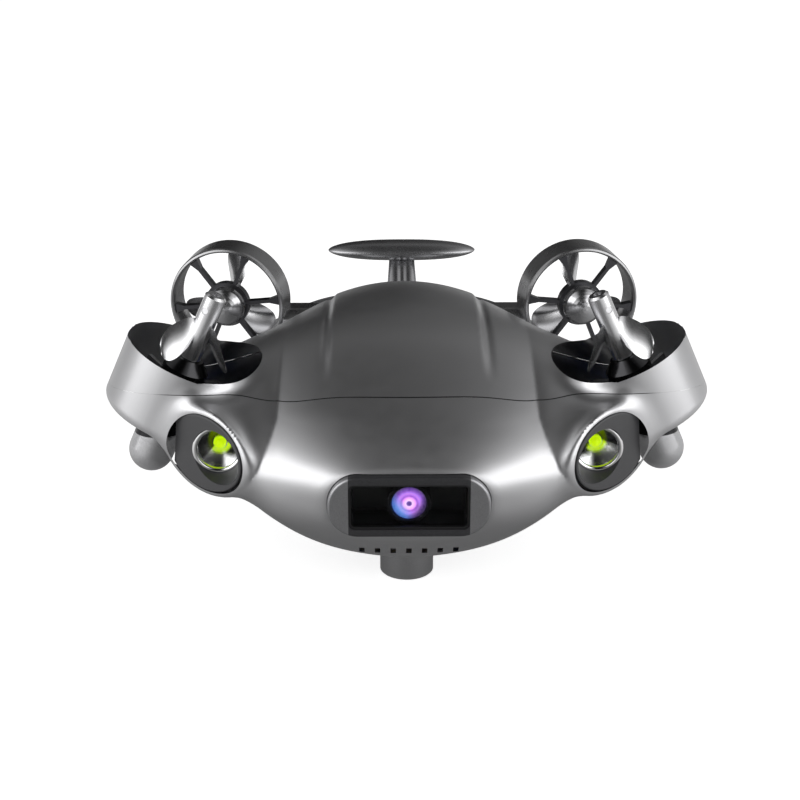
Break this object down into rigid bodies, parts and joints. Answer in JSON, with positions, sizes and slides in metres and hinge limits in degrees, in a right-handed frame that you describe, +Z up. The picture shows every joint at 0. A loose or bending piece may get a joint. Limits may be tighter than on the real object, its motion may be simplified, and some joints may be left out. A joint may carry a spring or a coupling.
{
  "type": "underwater inspection rov",
  "caption": "Compact egg-shaped underwater inspection vehicle with ducted thrusters, nose camera, wing lamps, belly sonar pod and rear carrying handle.",
  "frame": {"origin": "under the middle of the vehicle, at the height of the sonar pod's lower face", "axes": "+Z up, +Y towards the tail, the nose camera looks along -Y, +X to the vehicle's left"},
  "size_m": [0.327, 0.3825, 0.1648],
  "materials": {
    "upper_skin": "satin metallic grey paint",
    "lower_skin": "satin metallic grey paint",
    "gasket_rubber": "matte black rubber",
    "steel": "passivated stainless steel",
    "dark_trim": "fine-textured dark grey plastic",
    "black_recess": "matte black",
    "clear_window": "clear polished window",
    "black_metal": "black anodised",
    "coated_lens": "purple-blue coated glass",
    "circuit_board": "solder-masked board",
    "handle_grey": "satin grey grip",
    "brass": "machined brass",
    "canister_metal": "anodised aluminium",
    "battery_wrap": "shrink wrap",
    "pod_grey": "satin grey plastic",
    "sonar_rubber": "smooth black polyurethane",
    "bright_chrome": "vacuum-metallised",
    "emitter_yellow": "phosphor",
    "duct_grey": "satin metallic grey paint",
    "ring_grey": "satin grey plastic",
    "motor_grey": "satin anodised aluminium",
    "blade_silver": "glossy silver paint"
  },
  "bodies": {
    "hull": {"upper_shell": "upper_skin", "lower_shell": "lower_skin", "shell_gasket": "gasket_rubber", "shell_screws": "steel", "camera_bezel": "dark_trim", "camera_liner": "black_recess", "camera_window": "clear_window", "camera_barrel": "black_metal", "camera_lens": "coated_lens", "camera_sensor_board": "circuit_board", "handle_grip": "handle_grey", "handle_stem": "handle_grey", "handle_screws": "steel", "tether_socket": "brass", "electronics_canister": "canister_metal", "canister_cap": "canister_metal", "battery_pack": "battery_wrap", "control_board": "circuit_board", "accessory_insert": "brass", "sonar_pod": "pod_grey", "sonar_face": "sonar_rubber", "lamp_bezel_right": "dark_trim", "lamp_reflector_right": "bright_chrome", "lamp_glass_right": "clear_window", "lamp_emitter_right": "emitter_yellow", "front_duct_right": "duct_grey", "front_motor_right": "motor_grey", "front_motor_mount_right": "dark_trim", "rear_duct_right": "duct_grey", "rear_motor_right": "motor_grey", "rear_motor_mount_right": "dark_trim", "surge_duct_right": "ring_grey", "surge_motor_right": "motor_grey", "surge_guard_right": "ring_grey", "lamp_bezel_left": "dark_trim", "lamp_reflector_left": "bright_chrome", "lamp_glass_left": "clear_window", "lamp_emitter_left": "emitter_yellow", "front_duct_left": "duct_grey", "front_motor_left": "motor_grey", "front_motor_mount_left": "dark_trim", "rear_duct_left": "duct_grey", "rear_motor_left": "motor_grey", "rear_motor_mount_left": "dark_trim", "surge_duct_left": "ring_grey", "surge_motor_left": "motor_grey", "surge_guard_left": "ring_grey"},
    "front_rotor_right": {"front_propeller_right": "blade_silver", "front_shaft_right": "steel"},
    "rear_rotor_right": {"rear_propeller_right": "blade_silver", "rear_shaft_right": "steel"},
    "surge_rotor_right": {"surge_propeller_right": "blade_silver", "surge_shaft_right": "steel"},
    "front_rotor_left": {"front_propeller_left": "blade_silver", "front_shaft_left": "steel"},
    "rear_rotor_left": {"rear_propeller_left": "blade_silver", "rear_shaft_left": "steel"},
    "surge_rotor_left": {"surge_propeller_left": "blade_silver", "surge_shaft_left": "steel"}
  },
  "joints": [
    {"name": "front_spin_right", "type": "hinge", "parent": "hull", "child": "front_rotor_right", "pos_m": [0.116, -0.1015, 0.1291], "axis": [-0.4067, 0, 0.9135], "continuous": true},
    {"name": "rear_spin_right", "type": "hinge", "parent": "hull", "child": "rear_rotor_right", "pos_m": [0.062, 0.0985, 0.08], "axis": [0.342, 0, 0.9397], "continuous": true},
    {"name": "surge_spin_right", "type": "hinge", "parent": "hull", "child": "surge_rotor_right", "pos_m": [0.108, 0.0435, 0.112], "axis": [-0.1736, 0.9848, 0], "continuous": true},
    {"name": "front_spin_left", "type": "hinge", "parent": "hull", "child": "front_rotor_left", "pos_m": [-0.116, -0.1015, 0.1291], "axis": [0.4067, 0, 0.9135], "continuous": true},
    {"name": "rear_spin_left", "type": "hinge", "parent": "hull", "child": "rear_rotor_left", "pos_m": [-0.062, 0.0985, 0.08], "axis": [-0.342, 0, 0.9397], "continuous": true},
    {"name": "surge_spin_left", "type": "hinge", "parent": "hull", "child": "surge_rotor_left", "pos_m": [-0.108, 0.0435, 0.112], "axis": [0.1736, 0.9848, 0], "continuous": true}
  ]
}
